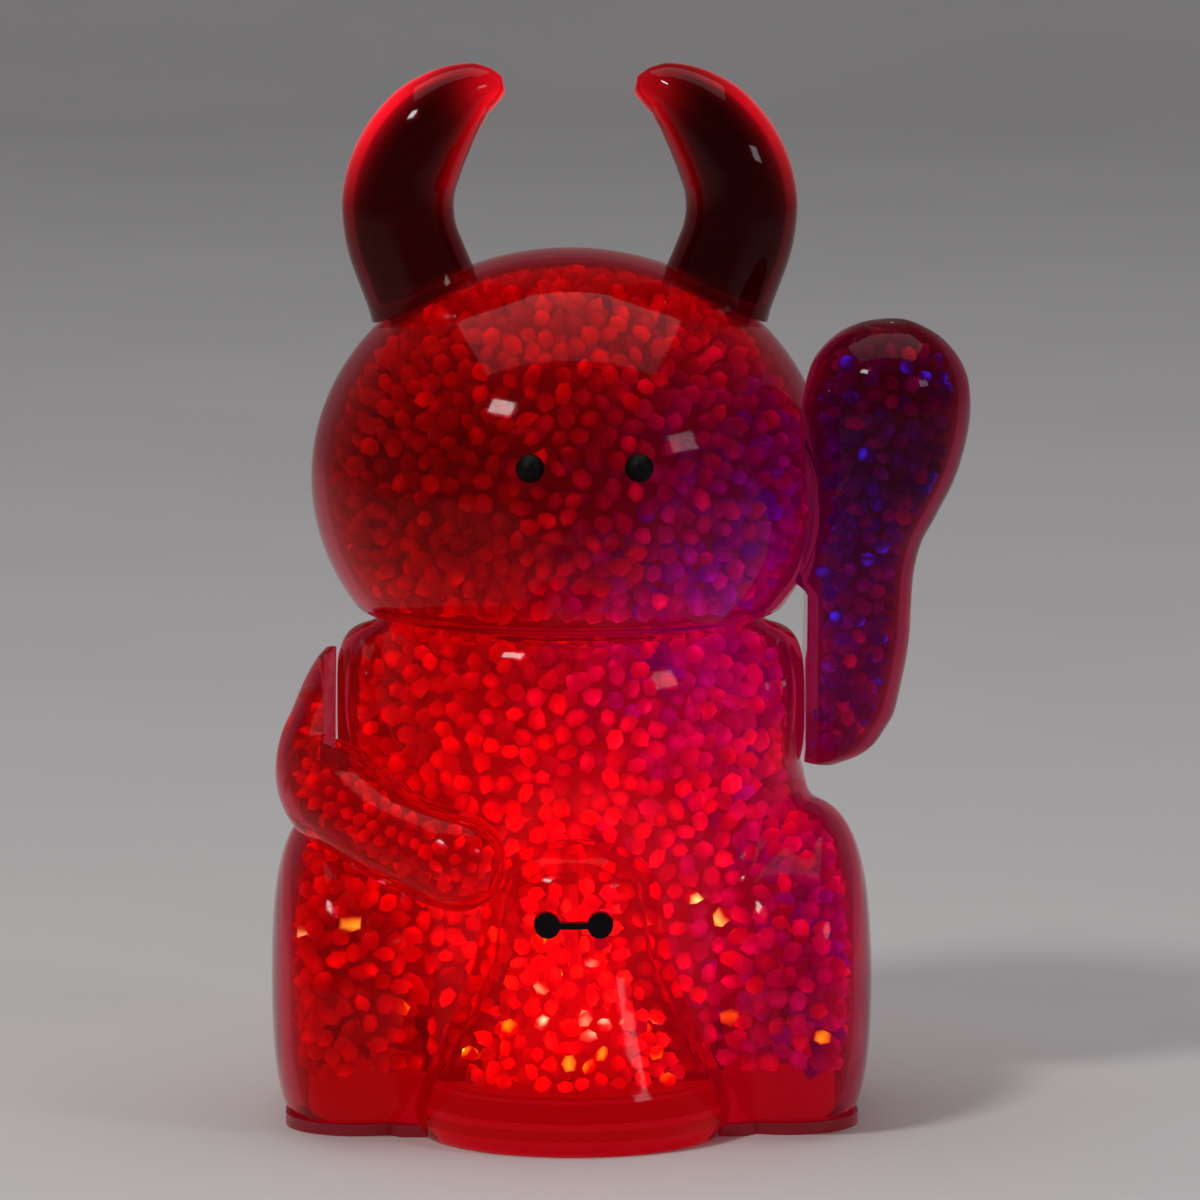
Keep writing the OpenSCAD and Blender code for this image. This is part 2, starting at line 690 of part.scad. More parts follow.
module wire_run() {
  link([tab_x, -10, 4.2], [tab_x, -10, 7.2]);
  link([tab_x, -10, 7.2], [17, -12, 7.2]);
  link([17, -12, 7.2], [17, -12, board_top + wire_r + 0.05]);
}

module wire_red() {
  color("red") wire_run();
}

module wire_black() {
  color([0.05, 0.05, 0.05]) mirror([1, 0, 0]) wire_run();
}

body_shell();
head_shell();
horn_left();
horn_right();
raised_arm();
lowered_arm();
lap_bell();
bell_slot();
bell_foot();
eye_left();
eye_right();
head_beads();
body_beads();
raised_arm_beads();
lowered_arm_beads();
bell_beads();
base_plate();
base_deck();
light_dome();
circuit_board();
led_red();
led_green();
led_blue();
resistor();
switch_body();
switch_knob();
battery_door();
battery_1();
battery_2();
battery_3();
contact_springs();
contact_plates();
base_screws();
board_screws();
wire_red();
wire_black();
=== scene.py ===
import json
import math

import bmesh
import bpy
import numpy as np
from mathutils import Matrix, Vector
from mathutils.bvhtree import BVHTree


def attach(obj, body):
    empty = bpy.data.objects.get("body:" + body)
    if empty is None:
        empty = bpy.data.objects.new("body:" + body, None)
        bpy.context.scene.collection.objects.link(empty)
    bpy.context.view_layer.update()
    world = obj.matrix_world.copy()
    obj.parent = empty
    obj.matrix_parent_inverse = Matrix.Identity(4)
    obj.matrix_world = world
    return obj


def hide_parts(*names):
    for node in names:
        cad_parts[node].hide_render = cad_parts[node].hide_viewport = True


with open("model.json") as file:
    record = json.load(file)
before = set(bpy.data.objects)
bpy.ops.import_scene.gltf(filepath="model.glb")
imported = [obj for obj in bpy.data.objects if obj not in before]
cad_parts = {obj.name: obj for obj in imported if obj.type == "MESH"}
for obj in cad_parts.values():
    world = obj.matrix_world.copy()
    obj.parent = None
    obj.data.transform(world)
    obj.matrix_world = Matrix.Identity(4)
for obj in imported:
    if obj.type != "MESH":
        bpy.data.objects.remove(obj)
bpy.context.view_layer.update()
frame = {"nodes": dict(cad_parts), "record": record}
rng = np.random.default_rng(7)
MM = 0.001

# ---- the shapes, as in the CAD, but with the arms' inner faces 0.25 mm nearer the body ----
TORSO = np.array([[0, 44.2], [4, 45], [10, 45.5], [18, 46], [34, 46], [40, 45], [45, 43.5], [51, 41.5],
                  [56, 40], [62, 38.9], [66, 38.4], [71, 37.6], [76, 36.4], [80, 34.9], [84.3, 32.6]])
BELL = np.array([[0.2, 25.2], [2, 26.7], [5, 27.5], [9, 26.6], [15, 23.8], [22, 20.7], [30, 17.9],
                 [38, 16.8], [44, 15.8], [48, 13], [51, 8.6], [53, 4], [53.8, 0]])
HORN = np.array([[-25.2, 139.6, 9.6], [-26.8, 143.6, 9.5], [-28.2, 147.4, 9.45], [-28.9, 151, 9.45],
                 [-29, 154.4, 9.45], [-28.3, 158.2, 9.3], [-26.9, 161.7, 9.1], [-25.1, 164.9, 8.65],
                 [-22.7, 168, 7.95], [-19.5, 170.9, 6.6], [-16.3, 172.8, 5.1], [-13.9, 173.5, 3.8],
                 [-12.3, 173.8, 2.6], [-11.2, 174, 1.4]])
RAISED = np.array([[42.3, -4.1, 59.2, 3.4, 3.4], [42.5, -4.3, 61.2, 6.6, 6.6], [43, -4.6, 64.5, 9.4, 9.4],
                   [43.8, -5, 69.5, 11.2, 11.2], [45.2, -6.5, 75.5, 11.2, 11.2],
                   [46.3, -8.8, 81.5, 11, 10.5], [46.7, -11.6, 88, 10.8, 9.5], [47.4, -14, 94.5, 10.5, 9],
                   [48.5, -16, 101, 10.9, 9.5], [50.2, -17.8, 107.5, 12.2, 11.3],
                   [51.8, -19, 114, 13.5, 13.2], [52.7, -20, 121.4, 14.1, 14.1],
                   [53, -20.6, 128, 12.9, 12.9], [53.2, -21, 132.4, 9.7, 9.7],
                   [53.3, -21.3, 134.9, 5.6, 5.6], [53.3, -21.4, 135.6, 2.6, 2.6]])
LOWERED = np.array([[-40.1, -2.5, 78.6, 1.3, 3.2], [-40.1, -2.8, 77, 2.7, 5.8], [-40.2, -3.4, 74, 4.4, 8.2],
                    [-40.4, -4.6, 70, 6, 9.8], [-40.6, -7.4, 65.5, 7.6, 10.2], [-41.2, -11.6, 61.4, 8.5, 9.9],
                    [-41.2, -17, 58.2, 8.5, 9.2], [-39.4, -24, 56.2, 8.5, 8.8], [-35.8, -31, 54.8, 8.2, 8.2],
                    [-30.6, -37.5, 52, 7.9, 7.9], [-25, -42.3, 50.2, 8, 8], [-20, -45.4, 48.8, 8.4, 8.4],
                    [-16, -47.4, 47.8, 7.4, 7.4], [-13.4, -48.6, 47.2, 4.8, 4.8], [-12.5, -49, 47, 2.4, 2.4]])
HAUNCH = (36.0, -12.0, 24.0)
HAUNCH_R, HAUNCH_HALF, HAUNCH_POWER = 30.5, 14.7, 0.68
SHOULDER_X, SHOULDER_R, SHOULDER_HALF, SHOULDER_POWER = 27.0, 14.0, 12.5, 0.45
FRONT_Y, SCOOP_R, SCOOP_Z = -34.0, 16.0, 44.0
BODY_TOP, BODY_WALL = 84.3, 2.2
HEAD_A, HEAD_C, HEAD_Z, HEAD_FOOT, HEAD_WALL = 43.9, 38.8, 107.4, 84.7, 2.3
FACE_TURN = 2.5
BELL_Y, BELL_BACK, BELL_WALL = -27.0, -34.05, 2.0
SHOULDER_Z, RAISED_Y, LOWERED_Y = 69.5, -5.0, -4.0
ARM_FACE, ARM_WALL, HORN_WALL = 39.65, 2.0, 1.9
SHELL_GAP, HAND_GAP, HAUNCH_GAP, CHEST_GAP = 0.4, 1.2, 1.3, 0.2
PEG_R = 8.4
MUZZLE_Z, MUZZLE_WIDE, MUZZLE_TALL, MUZZLE_OUT = 99.6, 9.2, 7.6, 2.5
NOSTRIL_X, NOSTRIL_Z, NOSTRIL_WIDE, NOSTRIL_TALL, NOSTRIL_IN = 3.6, 101.3, 1.25, 1.05, 1.3


def smooth(rows, t):
    """Rows of a table read along a smooth curve, t from 0 to 1."""
    rows = np.asarray(rows, float)
    n = len(rows) - 1
    x = np.clip(np.asarray(t) * n, 0, n - 1e-6)
    i = x.astype(int)
    f = (x - i)[:, None]
    p = [rows[np.clip(i + k, 0, n)] for k in (-1, 0, 1, 2)]
    return 0.5 * (2 * p[1] + (p[2] - p[0]) * f + (2 * p[0] - 5 * p[1] + 4 * p[2] - p[3]) * f ** 2
                  + (3 * p[1] - p[0] - 3 * p[2] + p[3]) * f ** 3)


def eased(x, table):
    """A table of (x, y) read as a soft curve."""
    x = np.asarray(x, float)
    d = 0.9
    return sum(np.interp(x + k * d, table[:, 0], table[:, 1]) for k in (-1, 0, 1)) / 3


def unit(v):
    return v / np.maximum(np.linalg.norm(v, axis=-1, keepdims=True), 1e-9)


# ---- mesh helpers ----
def mesh_object(name, verts, faces, material):
    """A smooth mesh from points in millimetres, in the scene, with its material."""
    mesh = bpy.data.meshes.new(name)
    mesh.from_pydata((np.asarray(verts) * MM).tolist(), [], faces)
    mesh.validate()
    mesh.update()
    mesh.polygons.foreach_set("use_smooth", [True] * len(mesh.polygons))
    obj = bpy.data.objects.new(name, mesh)
    bpy.context.scene.collection.objects.link(obj)
    mesh.materials.append(material)
    return obj


def tube_faces(rings, sides, first=0, closed=True, inward=False):
    """Faces of a row of rings, with a centre point after them on each end if closed."""
    faces = []
    for i in range(rings - 1):
        for k in range(sides):
            a, b = first + i * sides + k, first + i * sides + (k + 1) % sides
            faces.append((a, b, b + sides, a + sides))
    if closed:
        c0, c1 = first + rings * sides, first + rings * sides + 1
        for k in range(sides):
            a, b = first + k, first + (k + 1) % sides
            faces.append((c0, b, a))
            a, b = a + (rings - 1) * sides, b + (rings - 1) * sides
            faces.append((c1, a, b))
    return [f[::-1] for f in faces] if inward else faces


def closed_tube(rings, first=0, inward=False):
    """Points and faces of a row of rings with a centre point on each end, numbered from first."""
    n, sides = rings.shape[:2]
    verts = np.vstack([rings.reshape(-1, 3), rings[0].mean(0), rings[-1].mean(0)])
    return verts, tube_faces(n, sides, first, True, inward)


def shell(name, outer, inner, material):
    """A closed outer skin and a closed inner skin facing into the hollow. Each is an array of rings."""
    outer_verts, outer_faces = closed_tube(outer)
    inner_verts, inner_faces = closed_tube(inner, len(outer_verts), True)
    return mesh_object(name, np.vstack([outer_verts, inner_verts]), outer_faces + inner_faces, material)


def sweep(table, off, rings, sides, ref=None, clear=None):
    """Rings along a table of centres and radii. u points along ref, or away from the Z axis."""
    table = np.asarray(table, float)
    table = table[np.minimum(table[:, 3], table[:, 4]) - off > 0.6]
    s = smooth(table, np.linspace(0, 1, rings))
    s[:, 3:] = np.maximum(s[:, 3:], 0.4)
    c = s[:, :3]
    t = unit(np.gradient(c, axis=0))
    ref = unit(c * [1, 1, 0]) if ref is None else np.broadcast_to(np.array(ref, float), c.shape)
    u = unit(ref - (ref * t).sum(1, keepdims=True) * t)
    v = np.cross(t, u)
    a = np.linspace(0, 2 * np.pi, sides, endpoint=False)
    p = (c[:, None] + (s[:, 3] - off)[:, None, None] * np.cos(a)[None, :, None] * u[:, None]
         + (s[:, 4] - off)[:, None, None] * np.sin(a)[None, :, None] * v[:, None])
    return p if clear is None else clear(p.reshape(-1, 3), off).reshape(p.shape)


def pushed_out(p, need):
    """Points moved straight out from the Z axis to at least the distance need."""
    d = np.hypot(p[:, 0], p[:, 1])
    p[:, :2] *= np.where(d < need, need / np.maximum(d, 1e-6), 1)[:, None]
    return p


def near_pivot(p, y, reach):
    return np.hypot(p[:, 1] - y, p[:, 2] - SHOULDER_Z) < reach


def clear_raised(p, off):
    """Points of the raised arm kept off the head, the torso and the shoulder."""
    near = near_pivot(p, RAISED_Y, SHOULDER_R + 10)
    head = HEAD_A * np.sqrt(np.maximum(0, 1 - ((p[:, 2] - HEAD_Z) / HEAD_C) ** 2)) + HAND_GAP
    torso = np.interp(p[:, 2], TORSO[:, 0], TORSO[:, 1]) + SHELL_GAP
    p = pushed_out(p.copy(), np.where(near, head, np.maximum(head, torso)) + off)
    p[near, 0] = np.maximum(p[near, 0], ARM_FACE + off)
    return p


def haunch_reach(d):
    """The haunch's radius at the distance d from its middle."""
    inside = np.clip(1 - (np.clip(d / HAUNCH_HALF, 0, 1)) ** (2 / HAUNCH_POWER), 0, 1)
    return HAUNCH_R * inside ** (HAUNCH_POWER / 2)


def clear_lowered(p, off):
    """Points of the lowered arm kept off the shoulder, the torso and the haunch."""
    p = p.copy()
    near = near_pivot(p, LOWERED_Y, SHOULDER_R + 5)
    p[near, 0] = np.minimum(p[near, 0], -ARM_FACE - off)
    p = pushed_out(p, np.interp(p[:, 2], TORSO[:, 0], TORSO[:, 1]) + SHELL_GAP + off)
    reach = haunch_reach(np.abs(p[:, 0] + HAUNCH[0]))
    dy = p[:, 1] - HAUNCH[1]
    rise = np.sqrt(np.maximum(reach ** 2 - dy ** 2, 0))
    top = np.where(reach > np.abs(dy), HAUNCH[2] + rise + HAUNCH_GAP + off, 0)
    p[:, 2] = np.maximum(p[:, 2], top)
    return p


def torso_rings(off, foot, top, rings=90, sides=160):
    """The turned torso, cut flat in front and scooped out under the chest."""
    z = np.linspace(foot, top, rings)
    a = np.linspace(0, 2 * np.pi, sides, endpoint=False)
    r = np.repeat((eased(z, TORSO) - off)[:, None], sides, 1)
    r *= (1 - 0.03 * np.clip((z - (top - 2)) / 2, 0, 1) ** 2)[:, None]
    rise = np.clip(z - SCOOP_Z, 0, None)
    bow = SCOOP_R + off
    niche = -FRONT_Y + SCOOP_R - np.sqrt(np.maximum(bow ** 2 - rise ** 2, 0))
    niche = np.where(rise < bow, niche, 99)
    ahead = np.maximum(-np.sin(a), 1e-3)
    limit = niche[:, None] / ahead[None]
    blend = 2.0
    r = -blend * np.logaddexp(-r / blend, -limit / blend)
    return np.stack([r * np.cos(a), r * np.sin(a), np.repeat(z[:, None], sides, 1)], -1)


def lobe_rings(at, r, half, power, foot, rings=40, sides=96):
    """Round lobe about a sideways axis, full at the middle and soft at the rim."""
    t = np.linspace(-89.5, 89.5, rings) * np.pi / 180
    x = half * np.sign(t) * np.abs(np.sin(t)) ** power
    rho = r * np.cos(t) ** power
    a = np.linspace(0, 2 * np.pi, sides, endpoint=False)
    p = np.stack([np.repeat(x[:, None], sides, 1) + at[0],
                  at[1] + rho[:, None] * np.cos(a)[None], at[2] + rho[:, None] * np.sin(a)[None]], -1)
    p[..., 2] = np.maximum(p[..., 2], foot)
    return p


def haunch_rings(side, off, foot):
    at = (side * HAUNCH[0], HAUNCH[1], HAUNCH[2])
    return lobe_rings(at, HAUNCH_R - off, HAUNCH_HALF - off, HAUNCH_POWER, foot)


def shoulder_rings(side, off):
    at = (side * SHOULDER_X, RAISED_Y if side > 0 else LOWERED_Y, SHOULDER_Z)
    return lobe_rings(at, SHOULDER_R - off, SHOULDER_HALF - off, SHOULDER_POWER, 0)


def peg_rings(side, y, sides=40):
    """The round peg that an arm turns on, from inside the shoulder to just short of the arm."""
    a = np.linspace(0, 2 * np.pi, sides, endpoint=False)
    x = np.array([25.0, 30, 35, 39.5])
    p = np.stack([np.repeat(side * x[:, None], sides, 1),
                  np.repeat((y + PEG_R * np.cos(a))[None], len(x), 0),
                  np.repeat((SHOULDER_Z + PEG_R * np.sin(a))[None], len(x), 0)], -1)
    return p if side > 0 else p[:, ::-1]


def body_parts(off, foot, top):
    parts = [torso_rings(off, foot, top)]
    for side in (-1, 1):
        parts += [haunch_rings(side, off, foot), shoulder_rings(side, off)]
    return parts


def merged(name, parts, voxel, rounds):
    """Overlapping closed parts made into one soft skin. Returns vertices and faces in millimetres."""
    verts, faces = [], []
    for rings in parts:
        part_verts, part_faces = closed_tube(rings, len(verts))
        verts += part_verts.tolist()
        faces += part_faces
    mesh = bpy.data.meshes.new(name)
    mesh.from_pydata(verts, [], faces)
    obj = bpy.data.objects.new(name, mesh)
    bpy.context.scene.collection.objects.link(obj)
    remesh = obj.modifiers.new("remesh", "REMESH")
    remesh.mode, remesh.voxel_size = "VOXEL", voxel
    soften = obj.modifiers.new("soften", "SMOOTH")
    soften.factor, soften.iterations = 0.5, rounds
    made = obj.evaluated_get(bpy.context.evaluated_depsgraph_get()).to_mesh()
    v = np.zeros(len(made.vertices) * 3)
    made.vertices.foreach_get("co", v)
    f = [tuple(p.vertices) for p in made.polygons]
    bpy.data.objects.remove(obj)
    return v.reshape(-1, 3), f


def two_skins(name, outer, inner, material):
    """The same as shell, for skins given as vertices and faces."""
    verts = np.vstack([outer[0], inner[0]])
    shift = len(outer[0])
    faces = list(outer[1]) + [tuple(i + shift for i in f)[::-1] for f in inner[1]]
    return mesh_object(name, verts, faces, material)


def head_rings(off, rings=110, sides=200, relief=True):
    """The oval head with its muzzle, and with its nostrils if relief is wanted."""
    a, c = HEAD_A - off, HEAD_C - off
    foot = HEAD_FOOT + min(off, 1.0)
    low = math.asin((foot - HEAD_Z) / c)
    t = low + (math.pi / 2 - low) * np.linspace(0, 0.9995, rings)
    q = np.linspace(0, 2 * np.pi, sides, endpoint=False)
    r = a * np.cos(t)
    z = HEAD_Z + c * np.sin(t)
    soft = 1.0
    r = r - soft * np.clip(1 - (z - foot) / soft, 0, 1) ** 2
    p = np.stack([r[:, None] * np.cos(q), r[:, None] * np.sin(q), np.repeat(z[:, None], sides, 1)], -1)
    turn = math.radians(FACE_TURN)
    x = p[..., 0] * math.cos(turn) + p[..., 1] * math.sin(turn)
    front = np.clip(-p[..., 1] / 12, 0, 1)
    high = (p[..., 2] - MUZZLE_Z) / MUZZLE_TALL
    bulge = MUZZLE_OUT * np.exp(-((x / MUZZLE_WIDE) ** 2 + high ** 2) ** 1.6)
    if relief:
        high = (p[..., 2] - NOSTRIL_Z) / NOSTRIL_TALL
        for side in (-1, 1):
            across = (x - side * NOSTRIL_X) / NOSTRIL_WIDE
            bulge -= NOSTRIL_IN * np.exp(-(across ** 2 + high ** 2))
    p[..., 0] += front * bulge * math.sin(turn)
    p[..., 1] -= front * bulge * math.cos(turn)
    return p


def horn_rings(side, off, rings=64, sides=56):
    """A curved horn. Its outer skin also has a root inside the head and a rounded tip."""
    table = np.array([[x, 0, z, r, r] for x, z, r in HORN])
    if off == 0:
        root = table[0] + (table[0] - table[1]) * 0.55
        root[3:] = 9.9
        table = np.vstack([root, table, [-10.75, 0, 174.1, 0.6, 0.6]])
    p = sweep(table, off, rings, sides, ref=(0, 1, 0))
    if side > 0:
        p = (p * [-1, 1, 1])[:, ::-1]
    return p


def bell_rings(off, foot, top=50.7, rings=90, arc=72, flat=28):
    """Half bell: an arc round the front and a straight back that tucks under the chest."""
    out = []
    for h in np.linspace(foot, top - off, rings):
        bow = SCOOP_R - CHEST_GAP - off
        chest = FRONT_Y - SCOOP_R + math.sqrt(max(bow ** 2 - max(h - SCOOP_Z, 0) ** 2, 0))
        back = BELL_Y - min(BELL_BACK, chest if h > SCOOP_Z else 0) + off
        r = max(float(eased([h], BELL)[0]) - off, back + 0.02)
        w = math.acos(min(back / r, 1.0))
        q = np.linspace(-w, w, arc)
        front = [(r * math.sin(k), BELL_Y - r * math.cos(k), h) for k in q]
        x = r * math.sin(w)
        behind = [(x - 2 * x * (j + 1) / (flat + 1), BELL_Y - back, h) for j in range(flat)]
        out.append(front + behind)
    return np.array(out)


# ---- granules ----
def fans(faces):
    """Faces cut into triangles about each face's first corner."""
    return np.array([(f[0], f[i], f[i + 1]) for f in faces for i in range(1, len(f) - 1)])


def triangles(v, faces):
    """Corners, normals and weights by area of a surface's triangles."""
    t = v[fans(faces)]
    n = np.cross(t[:, 1] - t[:, 0], t[:, 2] - t[:, 0])
    area = np.linalg.norm(n, axis=1)
    return t, n / np.maximum(area, 1e-9)[:, None], area


def well_inside(v, faces, p, margin):
    """Which points lie at least the margin under a closed surface."""
    tree = BVHTree.FromPolygons(v.tolist(), [tuple(f) for f in faces])
    out = np.zeros(len(p), bool)
    for i, q in enumerate(p):
        at, normal = tree.find_nearest(Vector(q))[:2]
        out[i] = (Vector(q) - at).dot(normal) < -margin
    return out


def scatter(v, faces, spacing, depth, tries, keep, margin):
    """Points a set depth inside a surface, no two nearer than spacing, with the surface's normal."""
    t, n, area = triangles(v, faces)
    pick = rng.choice(len(t), tries, p=area / area.sum())
    w = rng.random((tries, 2))
    w = np.where(w.sum(1, keepdims=True) > 1, 1 - w, w)
    p = t[pick, 0] + w[:, :1] * (t[pick, 1] - t[pick, 0]) + w[:, 1:] * (t[pick, 2] - t[pick, 0])
    p -= n[pick] * (depth + rng.random(tries) * 0.35)[:, None]
    ok = np.nonzero(keep(p))[0] if keep else np.arange(tries)
    cells, kept = {}, []
    for i in ok[well_inside(v, faces, p[ok], margin)]:
        key = tuple((p[i] // spacing).astype(int))
        near = (cells.get((key[0] + a, key[1] + b, key[2] + c), ())
                for a in (-1, 0, 1) for b in (-1, 0, 1) for c in (-1, 0, 1))
        if all(((p[i] - p[j]) ** 2).sum() > spacing ** 2 for group in near for j in group):
            cells.setdefault(key, []).append(i)
            kept.append(i)
    return p[kept], n[pick][kept]


def ball():
    """Corners and faces of a ball with twenty faces."""
    bm = bmesh.new()
    bmesh.ops.create_icosphere(bm, subdivisions=1, radius=1)
    v = np.array([x.co for x in bm.verts])
    f = np.array([[x.index for x in y.verts] for y in bm.faces])
    bm.free()
    return v, f


# Painted red lamp light by height, and painted pools of blue lamp light as centres, radii and strengths
GLOW = np.array([[0, 0.30], [12, 0.42], [30, 0.55], [50, 0.60], [64, 0.62], [76, 0.52], [86, 0.40],
                 [98, 0.22], [112, 0.14], [124, 0.20], [134, 0.30], [146, 0.34], [176, 0.12]])
BLUE_LIGHT_POOLS = (((26, -26, 86), 13, 0.30), ((30, -30, 104), 14, 0.12), ((40, -22, 50), 22, 0.10),
         ((46, -22, 24), 16, 0.12), ((52, -20, 118), 14, 0.05), ((50, -10, 82), 20, 0.05))


def glow_at(c):
    """How brightly the red lamp reaches a point."""
    level = np.interp(c[:, 2], GLOW[:, 0], GLOW[:, 1])
    # painted pool of lamp light over the lap, and painted falloff of the light towards the sides
    lap_light_pool = 0.70 * np.exp(-((c[:, 0] / 20) ** 2 + ((c[:, 1] + 34) / 20) ** 2 + ((c[:, 2] - 34) / 26) ** 2))
    side = 1 - 0.42 * np.clip((np.hypot(c[:, 0], 0.6 * c[:, 1]) - 18) / 34, 0, 1)
    return level * side + lap_light_pool


def blue_at(c):
    """How brightly the blue lamp reaches a point."""
    return sum(k * np.exp(-((c - np.array(p)) ** 2).sum(1) / (2 * r * r)) for p, r, k in BLUE_LIGHT_POOLS)


def turned(q):
    """Rotation matrices of unit quaternions."""
    w, x, y, z = q.T
    return np.stack([1 - 2 * (y * y + z * z), 2 * (x * y - z * w), 2 * (x * z + y * w),
                     2 * (x * y + z * w), 1 - 2 * (x * x + z * z), 2 * (y * z - x * w),
                     2 * (x * z - y * w), 2 * (y * z + x * w), 1 - 2 * (x * x + y * y)], 1).reshape(-1, 3, 3)


def pebble_shapes(c, n, size, grow):
    """An uneven, turned pebble at each place c, kept under the skin whose normal there is n."""
    bv, bf = ball()
    m = len(c)
    stretch = size * grow * rng.uniform([0.85, 0.8, 0.65], [1.25, 1.1, 0.95], (m, 3))
    shape = bv[None] * (1 + rng.normal(0, 0.10, (m, len(bv), 1))) * stretch[:, None]
    p = np.einsum("mij,mvj->mvi", turned(unit(rng.normal(size=(m, 4)))), shape)
    reach = (p * n[:, None]).sum(2).max(1)
    p += (c - n * np.maximum(reach - size, 0)[:, None])[:, None]
    return p, (bf[None] + (np.arange(m) * len(bv))[:, None, None]).reshape(-1, 3)


def pebble_glow(c, n, p, dim, share, vary):
    """Each corner's colour of painted lamp light, with its red part and its painted hotspot, how much light
    it catches.
    """
    m = len(c)
    out = unit(p - c[:, None])
    # painted shading: each pebble brighter where it faces out through the skin
    painted_facing_light = np.clip((out * n[:, None]).sum(2), 0, 1)
    # painted hotspot: each pebble lit brightest towards a random side near its outward normal
    painted_hotspot = sum(np.clip((out * unit(n * 0.7 + rng.normal(0, 0.6, (m, 3)))[:, None]).sum(2), 0, 1) ** k
                for k in (4, 10))
    lit = glow_at(c) * dim * np.exp(rng.normal(0, vary, m)) * share
    e = lit[:, None] * (0.50 + 0.30 * painted_facing_light + 0.62 * painted_hotspot)
    tone = np.stack([e, 0.004 * e + 0.10 * np.clip(e - 1.0, 0, 2), 0.006 * e], -1)
    # painted blue lamp light, which also takes red away
    blue = (blue_at(c) * np.exp(rng.normal(0, 0.5, m)))[:, None]
    tone[..., 2] += blue * (0.8 + 1.5 * painted_hotspot)
    tone[..., 0] *= 1 - 0.9 * np.clip(blue, 0, 0.4)
    return tone, e, painted_hotspot


def add_painted_glints(tone, c, e, painted_hotspot, sparks, blue_glint_share):
    """Paints glints on the pebbles: a share low in front turns yellow with the lamp's hottest light, and a
    share out at the raised arm blue with blue lamp light.
    """
    m = len(c)
    low_front = np.exp(-((c[:, 2] - 20) / 24) ** 2 - (c[:, 0] / 30) ** 2) * (c[:, 1] < 0)
    hot_glint_mask = rng.random(m) < sparks * low_front
    warm = rng.uniform(0.15, 1.0, m)[:, None]
    glint_strength = np.clip(painted_hotspot, 0, 1.2) ** 2
    # painted yellow glint where the lamp light is hottest
    yellow = np.stack([e + 1.5 * glint_strength, 22 * warm * glint_strength, 7 * warm ** 4 * glint_strength], -1)
    tone[hot_glint_mask] = yellow[hot_glint_mask]
    blue_glint_mask = rng.random(m) < blue_glint_share * np.clip((c[:, 0] - 30) / 20, 0, 1)
    # painted blue glint of the blue lamp
    painted_blue_glint = np.stack([0.4 * e, 0.4 * glint_strength, 0.2 + 5.5 * glint_strength], -1)
    tone[blue_glint_mask] = painted_blue_glint[blue_glint_mask]


def triangle_object(name, verts, tris, colours, material):
    """A smooth mesh of many triangles from points in millimetres, with its glow colours."""
    mesh = bpy.data.meshes.new(name)
    mesh.vertices.add(len(verts))
    mesh.vertices.foreach_set("co", (verts * MM).ravel())
    mesh.loops.add(tris.size)
    mesh.loops.foreach_set("vertex_index", tris.ravel().astype(np.int32))
    mesh.polygons.add(len(tris))
    mesh.polygons.foreach_set("loop_start", (np.arange(len(tris)) * 3).astype(np.int32))
    mesh.polygons.foreach_set("use_smooth", [True] * len(tris))
    mesh.update(calc_edges=True)
    store_glow(mesh, colours)
    mesh.materials.append(material)
    obj = bpy.data.objects.new(name, mesh)
    bpy.context.scene.collection.objects.link(obj)
    return obj


def granules(name, v, faces, core, body, slot_name, node, spacing=3.0, size=1.8, tries=26000, dim=1.0,
             sparks=0.0, blue_glint_share=0.0, vary=0.26, keep=None):
    """Pebbles under the skin with painted glints, a layer behind painted dimmer and a core painted with dim
    lamp light, in one piece.
    """
    verts, tris, colours, base = [], [], [], 0
    # the second layer is painted with half the lamp light, as shade deeper in the fill
    layers = ((0.3 + size, spacing, 1.0, 1.0), (0.3 + size * 2.3, spacing * 1.2, 1.2, 0.5))
    for depth, gap, grow, share in layers:
        c, n = scatter(v, faces, gap, depth, tries, keep, 0.85 * size)
        p, pebble_tris = pebble_shapes(c, n, size, grow)
        tone, e, painted_hotspot = pebble_glow(c, n, p, dim, share, vary)
        if not verts:
            add_painted_glints(tone, c, e, painted_hotspot, sparks, blue_glint_share)
        verts.append(p.reshape(-1, 3))
        tris.append(pebble_tris + base)
        colours.append(tone.reshape(-1, 3))
        base += len(verts[-1])
    core_verts, core_faces = closed_tube(core)
    verts.append(core_verts)
    tris.append(fans(core_faces) + base)
    # the core's colour is painted dim lamp light
    dim_core_light = (glow_at(core_verts) * 0.30 * dim)[:, None]
    colours.append(np.hstack([dim_core_light, dim_core_light * 0.01, dim_core_light * 0.02 + 0.1 * blue_at(core_verts)[:, None]]))
    obj = triangle_object(name, np.vstack(verts), np.vstack(tris), np.vstack(colours), PEBBLE)
    place(obj, body, slot_name, node)


def store_glow(mesh, colours):
    """Keeps a colour for each point of a mesh, for the glowing materials to read."""
    with_alpha = np.hstack([colours, np.ones((len(colours), 1))]).astype(np.float32)
    mesh.attributes.new("glow", "FLOAT_COLOR", "POINT").data.foreach_set("color", with_alpha.ravel())


